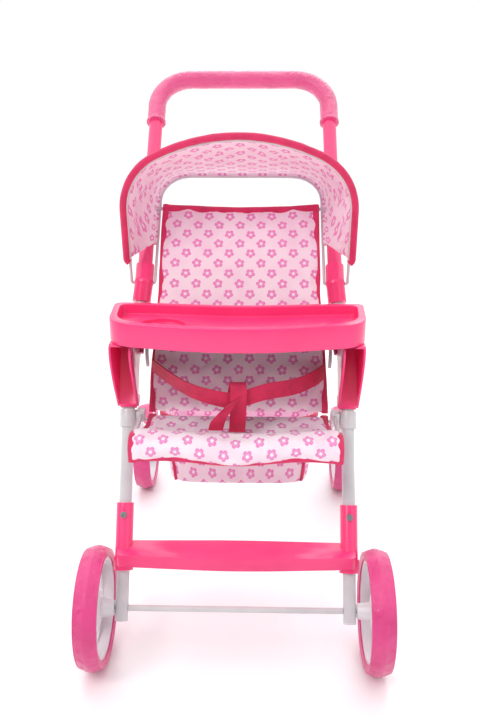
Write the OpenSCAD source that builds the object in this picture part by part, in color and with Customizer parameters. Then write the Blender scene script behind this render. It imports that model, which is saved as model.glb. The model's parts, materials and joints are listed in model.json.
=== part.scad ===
// Doll stroller: folding tube frame, four wheels, seat, harness, tray, canopy and basket.
// X runs across (left is -X), Y from the front to the handle, Z up from the floor.

/* [Wheels] */
// Distance from the front axle to the rear axle
wheelbase = 460; // [430:5:560]
// Distance between the middle planes of two wheels on one axle
track = 342.4; // [338:0.5:400]
// Outer diameter of every wheel
wheel_d = 150; // [125:5:150]
// Width of the tyre
tyre_w = 28.8; // [20:0.4:30]
// Radial depth of the tyre
tyre_depth = 13; // [8:0.5:16]
// Number of windows in a hub
spokes = 5; // [3:1:8]
// Diameter of both axles
axle_d = 5; // [4:0.5:6]

/* [Frame] */
// Outer diameter of the leg tubes
tube_d = 16; // [13:0.5:18]
// Wall of the tubes
tube_wall = 1.2; // [0.8:0.1:2]
// Distance between the axes of the two front legs
leg_spread = 279; // [265:1:282]
// Lean of the front legs from upright, in degrees
leg_lean = 28.4; // [26:0.2:31]
// Length of the straight lower part of a front leg, above the axle
leg_straight = 262; // [255:1:270]
// Distance from the front axle to the collar, along the leg
leg_len = 411; // [400:1:425]
// Distance between the axes of the two collars
collar_spread = 250; // [244:1:256]
// Height of the fold pivot along the front leg
pivot_along = 233; // [225:1:238]
// Distance of the fold pivot behind the leg axis
pivot_back = 20.4; // [20:0.2:24]
// Distance of the cross brace from the fold pivot
brace_along = 338; // [330:1:350]
// Diameter of the rear cross brace
brace_d = 10; // [8:0.5:12]

/* [Handle] */
// Diameter of the handle tube
handle_d = 19; // [16:0.5:20]
// Lean of the handle from upright, in degrees
handle_lean = 43.3; // [40:0.5:46]
// Length of the handle from the collar to the crossbar
handle_len = 346; // [320:1:380]
// Radius of the handle's two bends
handle_bend = 50; // [40:1:60]
// Diameter of the soft grip
grip_d = 26; // [24:0.5:28]
// Length of the grip down each side tube
grip_side = 81; // [65:1:110]

/* [Footrest] */
// Height of the top of the footrest
foot_top = 142; // [138:1:150]
// Thickness of the footrest
foot_h = 16; // [12:1:18]
// Depth of the footrest from front to back
foot_depth = 42; // [36:1:46]

/* [Tray and armrests] */
// Half of the tray's width
tray_half = 158; // [154:1:165]
// Depth of the tray from front to back
tray_depth = 114; // [100:1:118]
// Height of the tray's underside
tray_z = 391; // [391:0.5:394]
// Height of the tray's rim above its underside
tray_h = 29; // [24:1:32]
// Width of the tray's rim
rim_w = 9; // [6:0.5:12]
// Wall of the moulded plastic parts
wall = 2.4; // [1.8:0.2:3]
// Diameter of the cup recess
cup_d = 56; // [46:1:58]
// Depth of the cup recess below the tray's floor
cup_deep = 6; // [3:0.5:8]
// Width of an armrest
arm_w = 26; // [24:0.5:30]

/* [Seat, canopy and basket] */
// Diameter of the seat wire
seat_wire_d = 5; // [4:0.5:5.5]
// Diameter of the canopy wires
wire_d = 4; // [3:0.5:4.5]
// Thickness of the padded seat base
pad = 7; // [5:0.5:9]
// Width of the harness webbing
web_w = 20; // [16:1:25]
// Length of the rear canopy wire above the collar
rear_hoop_len = 170; // [150:1:175]
// Lean of the front canopy wire from upright, forwards, in degrees
hoop_lean = 13.5; // [10:0.5:20]
// Half of the basket's width
basket_half = 98; // [80:1:100]
// Depth that the basket hangs below its wire
basket_drop = 97; // [70:1:100]

/* [Fits] */
// Radial clearance of a turning shaft
run_gap = 0.05; // [0.02:0.01:0.1]
// Radial clearance of a fixed fit
fix_gap = 0.05; // [0.03:0.01:0.1]
// Clearance round a soft part
soft_gap = 0.4; // [0.3:0.1:0.6]

/* [Hidden] */
$fn = 48;
front_y = -wheelbase / 2;
rear_y = wheelbase / 2;
axle_z = wheel_d / 2;
leg_x = leg_spread / 2;
collar_x = collar_spread / 2;
tube_r = tube_d / 2;
ring_r = tube_r + 2.65;
hub_r = wheel_d / 2 - tyre_depth;
wheel_x = track / 2;
boss_in = leg_x + tube_r + 0.7;
boss_out = wheel_x + 13;
boss_r = 9;
cap_r = 10.5;
axle_end = boss_out + 3;
rivet_r = 2.5;
ear_in = tube_r + 0.4;
ear_out = ear_in + 2.5;
screw_r = 1.6;
collar_solid = 4.5;
hoop_x = collar_x + 16;
bar_up = 6;
rear_hoop_x = collar_x - 14.5;

function unit(v) = v / norm(v);
// A point on the axis of a front leg: t up the leg, x across
function leg_pt(t, x) = [x, front_y + t * sin(leg_lean), axle_z + t * cos(leg_lean)];
// A point behind the leg axis by back
function leg_off(t, back, x) = leg_pt(t, x) + [0, back * cos(leg_lean), -back * sin(leg_lean)];
// A point along the handle from the collar, raised off its plane by up
function handle_pt(t, x, up = 0) = leg_pt(leg_len, x)
    + [0, t * sin(handle_lean) - up * cos(handle_lean), t * cos(handle_lean) + up * sin(handle_lean)];
// Height above the floor as a distance up the front leg
function along(z) = (z - axle_z) / cos(leg_lean);
// Depth at which the leg axis stands at height z
function leg_y(z) = leg_pt(along(z), 0)[1];
pivot = leg_off(pivot_along, pivot_back, 0);
rear_hub = [0, rear_y, axle_z];
rear_dir = unit(rear_hub - pivot);
rear_len = norm(rear_hub - pivot);
collar = leg_pt(leg_len, 0);
front_dir = unit(leg_pt(leg_len, collar_x) - leg_pt(leg_straight, leg_x));

// Corner q of an outline from p to s, rounded over the length r on both sides
function corner(p, q, s, r, n = 6) = let (a = q + unit(p - q) * r, b = q + unit(s - q) * r)
    [for (i = [0:n]) let (t = i / n) a * (1 - t) * (1 - t) + q * 2 * t * (1 - t) + b * t * t];
// A closed outline with each corner rounded over its own length
function rounded(pts, r, n = 6) = let (m = len(pts))
    [for (i = [0:m - 1]) each corner(pts[(i + m - 1) % m], pts[i], pts[(i + 1) % m], r[i], n)];
// An open line with its inner corners rounded
function smooth(pts, r, n = 6) = let (m = len(pts))
    concat([pts[0]], [for (i = [1:m - 2]) each corner(pts[i - 1], pts[i], pts[i + 1], r, n)], [pts[m - 1]]);
// The point beside point i of an open line in a plane, moved off by d
function beside(p, i, d) = let (a = p[max(i - 1, 0)], b = p[min(i + 1, len(p) - 1)], v = unit(b - a))
    p[i] + [-v[1], v[0]] * d;
// A band of thickness t along an open line, with the line as its one side
function band(p, t) = concat(p, [for (i = [len(p) - 1:-1:0]) beside(p, i, t)]);

// A round rod from a to b
module rod(a, b, d) {
    v = b - a;
    translate(a) rotate([0, acos(v[2] / norm(v)), atan2(v[1], v[0])]) cylinder(d = d, h = norm(v));
}

// Corner q of a line from p to s, bent as a true arc of radius r
function bend(p, q, s, r, n) = let (u = unit(p - q), v = unit(s - q), turn = 180 - acos(u * v),
    c = q + unit(u + v) * r / cos(turn / 2), e = unit(q + u * r * tan(turn / 2) - c))
    [for (i = [0:n]) c + r * (e * cos(turn * i / n) - u * sin(turn * i / n))];
// A line whose inner corners are bent, each to its own radius
function bent(p, r, n) = let (m = len(p))
    concat([p[0]], [for (i = [1:m - 2]) each bend(p[i - 1], p[i], p[i + 1], r[i - 1], n)], [p[m - 1]]);

// A round bar or tube that follows a line lying in one plane
module swept(p, d, bore = 0, sides = 16) {
    m = len(p);
    normal = unit(cross(p[1] - p[0], p[m - 1] - p[m - 2] + (p[floor(m / 2)] - p[0]) * 0.37));
    walls = bore > 0 ? [d / 2, bore / 2] : [d / 2];
    pts = [for (r = walls) for (i = [0:m - 1])
        let (t = unit(p[min(i + 1, m - 1)] - p[max(i - 1, 0)]), b = cross(t, normal))
        for (k = [0:sides - 1]) p[i] + r * (normal * cos(360 * k / sides) + b * sin(360 * k / sides))];
    q = m * sides;
    last = q - sides;
    outer = [for (i = [0:m - 2]) for (k = [0:sides - 1]) each let (a = i * sides + k,
        b = i * sides + (k + 1) % sides) [[a, b, a + sides], [b, b + sides, a + sides]]];
    inner = bore > 0 ? [for (f = outer) [f[0] + q, f[2] + q, f[1] + q]] : [];
    caps = bore > 0
        ? [for (k = [0:sides - 1]) each let (b = (k + 1) % sides)
            [[k, k + q, b], [b, k + q, b + q], [last + k, last + b, last + k + q],
            [last + b, last + b + q, last + k + q]]]
        : [[for (k = [sides - 1:-1:0]) k], [for (k = [0:sides - 1]) last + k]];
    polyhedron(pts, concat(outer, inner, caps));
}

// Children stand on the front leg of one side, with Z up the leg
module on_leg(t, s) {
    translate(leg_pt(t, s * leg_x)) rotate([-leg_lean, 0, 0]) children();
}

// Children stand on the slanted upper part of the front leg
module on_slant(t, s) {
    f = (t - leg_straight) / (leg_len - leg_straight);
    x = leg_x + (collar_x - leg_x) * f;
    translate(leg_pt(t, s * x)) rotate([0, acos(front_dir[2]), atan2(front_dir[1], s * front_dir[0])]) children();
}

// A bar along X, centred at a point
module cross_bar(p, x0, x1, d) {
    translate([x0, p[1], p[2]]) rotate([0, 90, 0]) cylinder(d = d, h = x1 - x0);
}

// A side outline of [y, z] points with a width along X
module side_slab(pts, x0, x1) {
    translate([x0, 0, 0]) rotate([90, 0, 90]) linear_extrude(x1 - x0) polygon(pts);
}

// ---------------------------------------------------------------- front legs
function leg_path(s) = [leg_pt(-13, s * leg_x), leg_pt(leg_straight, s * leg_x),
    leg_pt(leg_len, s * collar_x) - [s * front_dir[0], front_dir[1], front_dir[2]] * collar_solid];

// A slot along the leg from t0 to t1, open to the inner side, and half as wide as half
module leg_slot(s, t0, t1, half, x_out) {
    x0 = arm_x0 - 20;
    side_slab([for (c = [[t0, -half], [t1, -half], [t1, half], [t0, half]])
        let (p = leg_off(c[0], c[1], 0)) [p[1], p[2]]], min(s * x0, s * x_out), max(s * x0, s * x_out));
}

module front_leg(s) {
    color("whitesmoke") difference() {
        swept(leg_path(s), tube_d, tube_d - 2 * tube_wall, 24);
        cross_bar(leg_pt(0, 0), s * leg_x - tube_d, s * leg_x + tube_d, axle_d + 2 * fix_gap);
        on_leg(along(174), s) rotate([90, 0, 0]) cylinder(r = screw_r + fix_gap, h = tube_d);
    }
}
module front_leg_left() { front_leg(-1); }
module front_leg_right() { front_leg(1); }

module leg_plug() {
    translate([0, 0, -2.2]) cylinder(d = tube_d, h = 2.2);
    cylinder(d = tube_d - 2 * tube_wall - 2 * fix_gap, h = 6);
}
module front_leg_plugs() {
    color("white") for (s = [-1, 1]) on_leg(-13, s) leg_plug();
}

// ---------------------------------------------------------------- footrest
socket_low = along(115);
socket_high = along(187);
module footrest() {
    front = leg_y(foot_top) - foot_depth / 2 - 8;
    plan = rounded([[-leg_x - 6, front + 4], [0, front - 4], [leg_x + 6, front + 4],
        [leg_x + 6, front + foot_depth - 4], [0, front + foot_depth], [-leg_x - 6, front + foot_depth - 4]],
        [6, 60, 6, 6, 60, 6]);
    color("hotpink") difference() {
        union() {
            translate([0, 0, foot_top - foot_h]) linear_extrude(foot_h) polygon(plan);
            for (s = [-1, 1]) on_leg(socket_low, s) cylinder(r = ring_r, h = socket_high - socket_low);
            for (s = [-1, 1]) on_leg(socket_low, s) cylinder(r = ring_r + 1.6, h = 16);
        }
        translate([0, 0, foot_top - foot_h - 1]) linear_extrude(foot_h - wall + 1)
            polygon(rounded([[-leg_x + 18, front + 7], [leg_x - 18, front + 7],
                [leg_x - 18, front + foot_depth - 7], [-leg_x + 18, front + foot_depth - 7]], [4, 4, 4, 4]));
        for (s = [-1, 1]) {
            on_leg(socket_low - 20, s) cylinder(d = tube_d + 2 * fix_gap, h = socket_high - socket_low + 40);
            on_leg(along(174), s) rotate([90, 0, 0]) cylinder(r = screw_r + fix_gap, h = tube_d);
        }
    }
}
module footrest_screws() {
    color("silver") for (s = [-1, 1]) on_leg(along(174), s) rotate([90, 0, 0]) difference() {
        union() {
            translate([0, 0, tube_r - 4]) cylinder(r = screw_r, h = ring_r - tube_r + 5);
            translate([0, 0, ring_r + 0.02]) cylinder(r = 4, h = 2);
        }
        translate([-2.4, -0.5, ring_r + 1.1]) cube([4.8, 1, 2]);
        translate([-0.5, -2.4, ring_r + 1.1]) cube([1, 4.8, 2]);
    }
}

// ---------------------------------------------------------------- axles
module axle(y) {
    color("silver") cross_bar([0, y, axle_z], -axle_end, axle_end, axle_d);
}
module axle_sleeve(y, d) {
    color("whitesmoke") difference() {
        cross_bar([0, y, axle_z], -leg_x + tube_r + 0.1, leg_x - tube_r - 0.1, d);
        cross_bar([0, y, axle_z], -leg_x, leg_x, axle_d + 2 * fix_gap);
    }
}
module front_axle() { axle(front_y); }
module front_axle_sleeve() { axle_sleeve(front_y, 7.5); }
module rear_axle() { axle(rear_y); }
module rear_axle_sleeve() { axle_sleeve(rear_y, 7.5); }

// ---------------------------------------------------------------- wheels
// Children are placed at a wheel, with Z outwards along the axle
module at_wheel(s, y) {
    translate([s * wheel_x, y, axle_z]) rotate([0, s * 90, 0]) children();
}
module tyre(s, y) {
    r = wheel_d / 2;
    h = tyre_w / 2;
    color("deeppink") at_wheel(s, y) rotate_extrude($fn = 96)
        polygon([[hub_r + fix_gap, -h + 2], [r - 6, -h], [r - 4.4, -h], [r, -2.5], [r, 2.5],
            [r - 4.4, h], [r - 6, h], [hub_r + fix_gap, h - 2]]);
}
module hub(s, y) {
    inner = boss_in - wheel_x;
    outer = boss_out - wheel_x;
    color("white") at_wheel(s, y) difference() {
        rotate_extrude($fn = 96) polygon([[axle_d / 2 + run_gap, inner], [boss_r, inner], [boss_r + 3, -7],
            [hub_r - 5, 3], [hub_r - 5, -11], [hub_r, -11], [hub_r, 11], [hub_r - 5, 11], [hub_r - 5, 7],
            [boss_r + 3, -2], [boss_r, outer], [axle_d / 2 + run_gap, outer]]);
        for (i = [0:spokes - 1]) rotate([0, 0, 360 * (i + 0.5) / spokes]) translate([0, 0, -20])
            linear_extrude(40) polygon(hub_window());
    }
}
// A rounded window between two spokes
function hub_window() = let (a = 180 / spokes - 9, r0 = boss_r + 12, r1 = hub_r - 10)
    rounded([r0 * [cos(a), -sin(a)], r1 * [cos(a), -sin(a)], r1 / cos(a) * [1, 0],
        r1 * [cos(a), sin(a)], r0 * [cos(a), sin(a)]], [4, 9, 12, 9, 4], 5);
module wheel_cap(s, y) {
    outer = boss_out - wheel_x;
    color("white") at_wheel(s, y) difference() {
        translate([0, 0, outer + 0.02]) rotate_extrude() polygon([[0, 0], [cap_r, 0], [cap_r, 3.5],
            [cap_r - 2, 5.8], [0, 6.6]]);
        translate([0, 0, outer - 1]) cylinder(r = axle_d / 2 + 1, h = axle_end - boss_out + 1.8);
    }
}
module front_left_tyre() { tyre(-1, front_y); }
module front_left_hub() { hub(-1, front_y); }
module front_left_cap() { wheel_cap(-1, front_y); }
module front_right_tyre() { tyre(1, front_y); }
module front_right_hub() { hub(1, front_y); }
module front_right_cap() { wheel_cap(1, front_y); }
module rear_left_tyre() { tyre(-1, rear_y); }
module rear_left_hub() { hub(-1, rear_y); }
module rear_left_cap() { wheel_cap(-1, rear_y); }
module rear_right_tyre() { tyre(1, rear_y); }
module rear_right_hub() { hub(1, rear_y); }
module rear_right_cap() { wheel_cap(1, rear_y); }

// ---------------------------------------------------------------- rear frame
module rear_leg(s) {
    a = pivot - rear_dir * 5 + [s * leg_x, 0, 0];
    b = rear_hub + rear_dir * 13 + [s * leg_x, 0, 0];
    color("whitesmoke") difference() {
        rod(a, b, tube_d);
        rod(a - rear_dir, b + rear_dir, tube_d - 2 * tube_wall);
        cross_bar(pivot, s * leg_x - tube_d, s * leg_x + tube_d, 2 * (rivet_r + run_gap));
        cross_bar(rear_hub, s * leg_x - tube_d, s * leg_x + tube_d, axle_d + 2 * fix_gap);
    }
}
module rear_leg_left() { rear_leg(-1); }
module rear_leg_right() { rear_leg(1); }
module rear_leg_plugs() {
    lean = acos(rear_dir[2]);
    color("white") for (s = [-1, 1]) translate(rear_hub + rear_dir * 13 + [s * leg_x, 0, 0])
        rotate([180 - lean, 0, 0]) leg_plug();
}
module rear_cross_brace() {
    p = pivot + rear_dir * brace_along;
    color("whitesmoke") difference() {
        cross_bar(p, -leg_x, leg_x, brace_d);
        for (s = [-1, 1]) rod(pivot + [s * leg_x, 0, 0], rear_hub + [s * leg_x, 0, 0], tube_d + 2 * fix_gap);
    }
}

// ---------------------------------------------------------------- fold hinge
module leg_hinge(s) {
    h = 22;
    color("whitesmoke") difference() {
        union() {
            on_leg(pivot_along - h / 2, s) cylinder(r = ring_r, h = h);
            for (x = [-ear_out, ear_in]) on_leg(pivot_along, s) translate([x, 0, 0]) rotate([90, 0, 90])
                linear_extrude(ear_out - ear_in) polygon(rounded([[0, -h / 2], [pivot_back + 8, -8],
                    [pivot_back + 8, 8], [0, h / 2]], [1, 7, 7, 1]));
        }
        on_leg(pivot_along - h, s) cylinder(d = tube_d + 2 * fix_gap, h = 2 * h);
        cross_bar(pivot, s * leg_x - tube_d, s * leg_x + tube_d, 2 * (rivet_r + fix_gap));
    }
}
module leg_hinge_left() { leg_hinge(-1); }
module leg_hinge_right() { leg_hinge(1); }
module hinge_rivets() {
    color("silver") for (s = [-1, 1]) {
        x0 = s * leg_x - ear_out - 0.02;
        x1 = s * leg_x + ear_out + 0.02;
        cross_bar(pivot, x0, x1, 2 * rivet_r);
        cross_bar(pivot, x0 - 1.8, x0, 8);
        cross_bar(pivot, x1, x1 + 1.8, 8);
    }
}

// ---------------------------------------------------------------- armrests
arm_top = tray_z - 0.1;
arm_x0 = leg_x - arm_w / 2 - 0.5;
ring_low = along(292);
ring_high = along(307);
clamp_low = along(355);
clamp_high = along(372);
tongue_y = leg_y(tray_z) - 60;
module armrest(s) {
    z_low = 296;
    y_top = leg_y(arm_top);
    y_low = leg_y(z_low);
    outline = rounded([[y_top + 2, arm_top], [y_top - 100, arm_top], [y_top - 102, arm_top - 16],
        [y_top - 88, z_low + 45], [y_low - 9, z_low], [y_low + 5, z_low]], [3, 6, 8, 26, 3, 3]);
    x_mid = s * (arm_x0 + arm_w / 2);
    color("hotpink") difference() {
        union() {
            difference() {
                side_slab(outline, x_mid - arm_w / 2, x_mid + arm_w / 2);
                side_slab([[y_top - 120, arm_top - wall], [y_top - 20, arm_top - wall],
                    [y_low - 12 + 40 * tan(leg_lean), z_low + 50], [y_low - 12, z_low + 6], [y_low - 60, z_low + 6]],
                    x_mid - arm_w / 2 + wall, x_mid + arm_w / 2 - wall);
            }
            on_leg(ring_low, s) cylinder(r = ring_r, h = ring_high - ring_low);
        }
        translate([x_mid - 8 - soft_gap, tongue_y - soft_gap, arm_top - 9])
            cube([16 + 2 * soft_gap, 30 + 2 * soft_gap, 20]);
        on_leg(ring_low - 30, s) cylinder(d = tube_d + 2 * fix_gap, h = ring_high - ring_low + 32);
        leg_slot(s, ring_high, leg_len, tube_r + 0.6, leg_x + tube_r + 0.4);
        leg_slot(s, clamp_low - 1.6, clamp_high + 1.6, ring_r + 1.3, leg_x + tube_r);
    }
}
module armrest_left() { armrest(-1); }
module armrest_right() { armrest(1); }

module pivot_clamp(s) {
    h = clamp_high - clamp_low - 0.2;
    lever = lever_at(s);
    color("mediumvioletred") difference() {
        union() {
            on_slant(clamp_low + 0.1, s) cylinder(r = ring_r + 1, h = h);
            cross_bar(lever, min(lever[0], lever[0] + s * 8), max(lever[0], lever[0] + s * 8), 9);
        }
        on_slant(clamp_low - 5, s) cylinder(d = tube_d + 2 * fix_gap, h = h + 20);
        cross_bar(lever, lever[0] - 5, lever[0] + 5, 3 + 2 * run_gap);
    }
}
// The face of the clamp's boss, where the lever turns
function lever_at(s) = let (t = (clamp_low + clamp_high) / 2,
    f = (t - leg_straight) / (leg_len - leg_straight), x = leg_x + (collar_x - leg_x) * f)
    leg_pt(t, s * (x - ring_r - 2.4));
module pivot_clamp_left() { pivot_clamp(-1); }
module pivot_clamp_right() { pivot_clamp(1); }
module fold_latch(s) {
    p = lever_at(s);
    x0 = p[0] - s * 0.3;
    line = smooth([[0, 0], [-3, -13], [3, -25]], 6);
    color("white") {
        cross_bar(p, min(x0, p[0] + s * 4), max(x0, p[0] + s * 4), 3);
        translate([min(x0, x0 - s * 4), p[1], p[2]]) rotate([90, 0, 90]) linear_extrude(4) union() {
            circle(r = 5);
            polygon(band([for (q = line) q - [3, 0]], -6));
        }
    }
}
module fold_latch_left() { fold_latch(-1); }
module fold_latch_right() { fold_latch(1); }

// ---------------------------------------------------------------- collars, handle
module collar_part(s) {
    c = leg_pt(leg_len, s * collar_x);
    down = -[s * front_dir[0], front_dir[1], front_dir[2]];
    up = unit(handle_pt(1, 0) - handle_pt(0, 0));
    color("hotpink") difference() {
        union() {
            rod(c, c + down * 26, 24);
            rod(c, c + up * 26, 24);
            translate(c) sphere(r = 12.6);
        }
        rod(c + down * collar_solid, c + down * 30, tube_d + 2 * fix_gap);
        rod(c + up * collar_solid, c + up * 30, handle_d + 2 * fix_gap);
        cross_bar(c, min(c[0] + s * 8, c[0] + s * 20), max(c[0] + s * 8, c[0] + s * 20), wire_d + 2 * run_gap);
        cross_bar(c, min(c[0] - s * 8, c[0] - s * 20), max(c[0] - s * 8, c[0] - s * 20), wire_d + 2 * fix_gap);
    }
}
module collar_left() { collar_part(-1); }
module collar_right() { collar_part(1); }

handle_line = [handle_pt(collar_solid, -collar_x), handle_pt(handle_len, -collar_x),
    handle_pt(handle_len, collar_x), handle_pt(collar_solid, collar_x)];
grip_line = [handle_pt(handle_len - grip_side, -collar_x), handle_line[1], handle_line[2],
    handle_pt(handle_len - grip_side, collar_x)];
module handle_tube() {
    color("hotpink") swept(bent(handle_line, [handle_bend, handle_bend], 10), handle_d,
        handle_d - 2 * tube_wall, 24);
}
module handle_grip() {
    color("palevioletred") swept(bent(grip_line, [handle_bend, handle_bend], 10), grip_d,
        handle_d + 2 * fix_gap, 24);
}

// ---------------------------------------------------------------- canopy
front_arch = 190;
// A point in the plane of the front canopy wire: x across, h up the wire's lean
function hoop_pt(x, h) = collar + [x, -h * sin(hoop_lean), h * cos(hoop_lean)];
module canopy_front_hoop() {
    tip = collar_x + 9.5;
    color("whitesmoke") swept(bent([hoop_pt(-tip, 0), hoop_pt(-hoop_x, 0), hoop_pt(-hoop_x + 2, 148),
        hoop_pt(0, front_arch + 20), hoop_pt(hoop_x - 2, 148), hoop_pt(hoop_x, 0), hoop_pt(tip, 0)],
        [3, 75, 220, 75, 3], 6), wire_d, 0, 12);
}
module canopy_rear_hoop() {
    tip = collar_x - 9.5;
    color("whitesmoke") swept(bent([handle_pt(0, -tip), handle_pt(0, -rear_hoop_x),
        handle_pt(rear_hoop_len, -rear_hoop_x), handle_pt(rear_hoop_len, rear_hoop_x),
        handle_pt(0, rear_hoop_x), handle_pt(0, tip)], [2.2, 40, 40, 2.2], 6), wire_d, 0, 12);
}
// Canopy skin: columns round the arch, rows from the front wire to the rear wire
sheet_cols = 28;
sheet_rows = 6;
sheet_t = 1.2;
function arch_pt(u, half, top, low) = let (a = 180 * u, c = cos(a), q = sin(a))
    [-half * sign(c) * pow(abs(c), 0.55), low + (top - low) * pow(q, 0.62)];
function front_pt(u, out) = let (p = arch_pt(u, hoop_x - 0.5 + out, front_arch + 4 + out, 45))
    hoop_pt(p[0], p[1]);
function rear_pt(u, out) = let (p = arch_pt(u, rear_hoop_x - 1.7 + out, rear_hoop_len - 1.7 + out, 45))
    handle_pt(p[1], p[0], bar_up + seat_wire_d / 2 + 1);
function sheet_pt(i, j, out) = let (f = j / sheet_rows, u = i / sheet_cols)
    front_pt(u, out) * (1 - f) + rear_pt(u, out) * f;
module canopy_fabric() {
    w = sheet_rows + 1;
    n = (sheet_cols + 1) * w;
    pts = [for (side = [0, 1]) for (i = [0:sheet_cols]) for (j = [0:sheet_rows])
        sheet_pt(i, j, side == 0 ? wire_d / 2 + sheet_t + 2 : wire_d / 2 + 2)];
    faces = concat(
        [for (i = [0:sheet_cols - 1]) for (j = [0:sheet_rows - 1]) each let (a = i * w + j)
            [[a, a + 1, a + w], [a + 1, a + w + 1, a + w]]],
        [for (i = [0:sheet_cols - 1]) for (j = [0:sheet_rows - 1]) each let (a = n + i * w + j)
            [[a, a + w, a + 1], [a + 1, a + w, a + w + 1]]],
        [for (i = [0:sheet_cols - 1]) each let (a = i * w, b = i * w + sheet_rows)
            [[a, a + w, a + n], [a + w, a + w + n, a + n], [b, b + n, b + w], [b + w, b + n, b + w + n]]],
        [for (j = [0:sheet_rows - 1]) each let (a = j, b = sheet_cols * w + j)
            [[a, a + n, a + 1], [a + 1, a + n, a + 1 + n], [b, b + 1, b + n], [b + 1, b + 1 + n, b + n]]]);
    color("lavenderblush") polyhedron(pts, faces);
}

// ---------------------------------------------------------------- seat
seat_bar = [0, front_y + 22, 283];
seat_arm_x = leg_x - 17;
clip_y = leg_y(283);
clip_in = seat_arm_x - 4;
clip_out = leg_x - ear_out - fix_gap;
seat_line = [[-seat_arm_x, clip_y + 14, 285], [-seat_arm_x, seat_bar[1], 283],
    [seat_arm_x, seat_bar[1], 283], [seat_arm_x, clip_y + 14, 285]];
module seat_frame() {
    color("whitesmoke") swept(bent(seat_line, [14, 14], 6), seat_wire_d, 0, 12);
}
// The room that the seat wire takes up, with a gap all round
module wire_room(gap) {
    for (i = [0:2]) rod(seat_line[i], seat_line[i + 1], seat_wire_d + 2 * gap);
    for (i = [1, 2]) translate(seat_line[i]) cylinder(r = 13, h = 2 * (seat_wire_d + 2 * gap), center = true);
}
module seat_clips() {
    color("white") for (s = [-1, 1]) difference() {
        translate([s > 0 ? clip_in : -clip_out, clip_y - 6, 277]) cube([clip_out - clip_in, 14, 13.5]);
        rod(seat_line[s > 0 ? 2 : 0], seat_line[s > 0 ? 3 : 1], seat_wire_d + 2 * fix_gap);
        on_leg(pivot_along - 20, s) cylinder(r = ring_r + fix_gap, h = 50);
    }
}
// Underline of the seat from its front hem to the crease, and of the backrest above it
seat_low = smooth([[front_y + 16, 264], [front_y + 19, 286], [front_y + 34, 291], [front_y + 88, 266],
    [front_y + 124, 273]], 6, 5);
back_bar_at = handle_pt(112, 0, bar_up);
module seat_base() {
    w = seat_arm_x + 4;
    color("lavenderblush") difference() {
        intersection() {
            side_slab(band(seat_low, -pad), -w, w);
            translate([0, 0, 200]) linear_extrude(150) polygon([[-w, front_y], [w, front_y],
                [w, clip_y - 16], [seat_arm_x - 5, clip_y - 12], [seat_arm_x - 5, clip_y + 60],
                [5 - seat_arm_x, clip_y + 60], [5 - seat_arm_x, clip_y - 12], [-w, clip_y - 16]]);
        }
        wire_room(soft_gap + 0.2);
    }
}
module seat_back() {
    top = [back_bar_at[1], back_bar_at[2]];
    line = smooth([[front_y + 136, 275], [front_y + 159, 360], [front_y + 206, 445], [top[0] - 2, top[1] + 4]], 25, 4);
    half_low = seat_arm_x - 5;
    half_top = rear_hoop_x - 4;
    color("lavenderblush") difference() {
        intersection() {
            union() {
                side_slab(band(line, -pad + 1), -half_low, half_low);
                cross_bar(back_bar_at, -half_low, half_low, seat_wire_d + 7);
            }
            rotate([90, 0, 0]) translate([0, 0, -300]) linear_extrude(600) polygon([[-half_low, 200],
                [half_low, 200], [half_low, 290], [half_top, 425], [half_top, 650],
                [-half_top, 650], [-half_top, 425], [-half_low, 290]]);
        }
        cross_bar(back_bar_at, -collar_x, collar_x, seat_wire_d + 2 * soft_gap);
    }
}
module back_bar() {
    color("whitesmoke") difference() {
        cross_bar(back_bar_at, -collar_x, collar_x, seat_wire_d);
        for (s = [-1, 1]) rod(handle_pt(0, s * collar_x), handle_pt(240, s * collar_x), handle_d + 2 * fix_gap);
    }
}

// ---------------------------------------------------------------- harness
web_t = 1.5;
belt_z = 318;
module waist_belt() {
    line = [for (i = [-10:10]) let (u = i / 10) [108 * u, front_y + 76 + 62 * u * u]];
    color("crimson") translate([0, 0, belt_z]) linear_extrude(web_w) polygon(band(line, web_t));
}
module crotch_strap() {
    y0 = front_y + 76;
    loop = smooth([[y0 + 8, 278], [y0 - 4, 300], [y0 - 4, belt_z + web_w + 4], [y0 + 5, belt_z + web_w + 4],
        [y0 + 5, 300]], 3, 4);
    color("crimson") side_slab(band(loop, web_t), -web_w / 2, web_w / 2);
}

// ---------------------------------------------------------------- basket
hang_x = leg_x - ear_out - 2.2;
wire_back = [0, front_y + 300, 237];
basket_wire_x = basket_half + 6;
basket_line = [[-hang_x, pivot[1], pivot[2]], [-basket_wire_x, pivot[1], pivot[2]],
    [-basket_wire_x, wire_back[1], wire_back[2]], [basket_wire_x, wire_back[1], wire_back[2]],
    [basket_wire_x, pivot[1], pivot[2]], [hang_x, pivot[1], pivot[2]]];
module basket_frame() {
    color("whitesmoke") swept(bent(basket_line, [6, 12, 12, 6], 5), wire_d, 0, 10);
}
module basket() {
    y0 = pivot[1] + 12;
    y1 = wire_back[1] - 4;
    z0 = pivot[2] - basket_drop - 5;
    t = 2;
    outer = rounded([[y0, pivot[2] - 12], [y0 + 12, z0], [y1 - 8, z0 - 4], [y1, wire_back[2] - 5]], [3, 24, 24, 3]);
    inner = rounded([[y0 + t, pivot[2] + 9], [y0 + 13 + t, z0 + t], [y1 - 9 - t, z0 + t - 4],
        [y1 - t, wire_back[2] + 9]], [3, 23, 23, 3]);
    color("lavenderblush") difference() {
        side_slab(outer, -basket_half, basket_half);
        side_slab(inner, -basket_half + t, basket_half - t);
    }
}

// ---------------------------------------------------------------- tray
tray_back = leg_y(tray_z) - tube_r / cos(leg_lean) - 1;
tray_front = tray_back - tray_depth;
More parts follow.
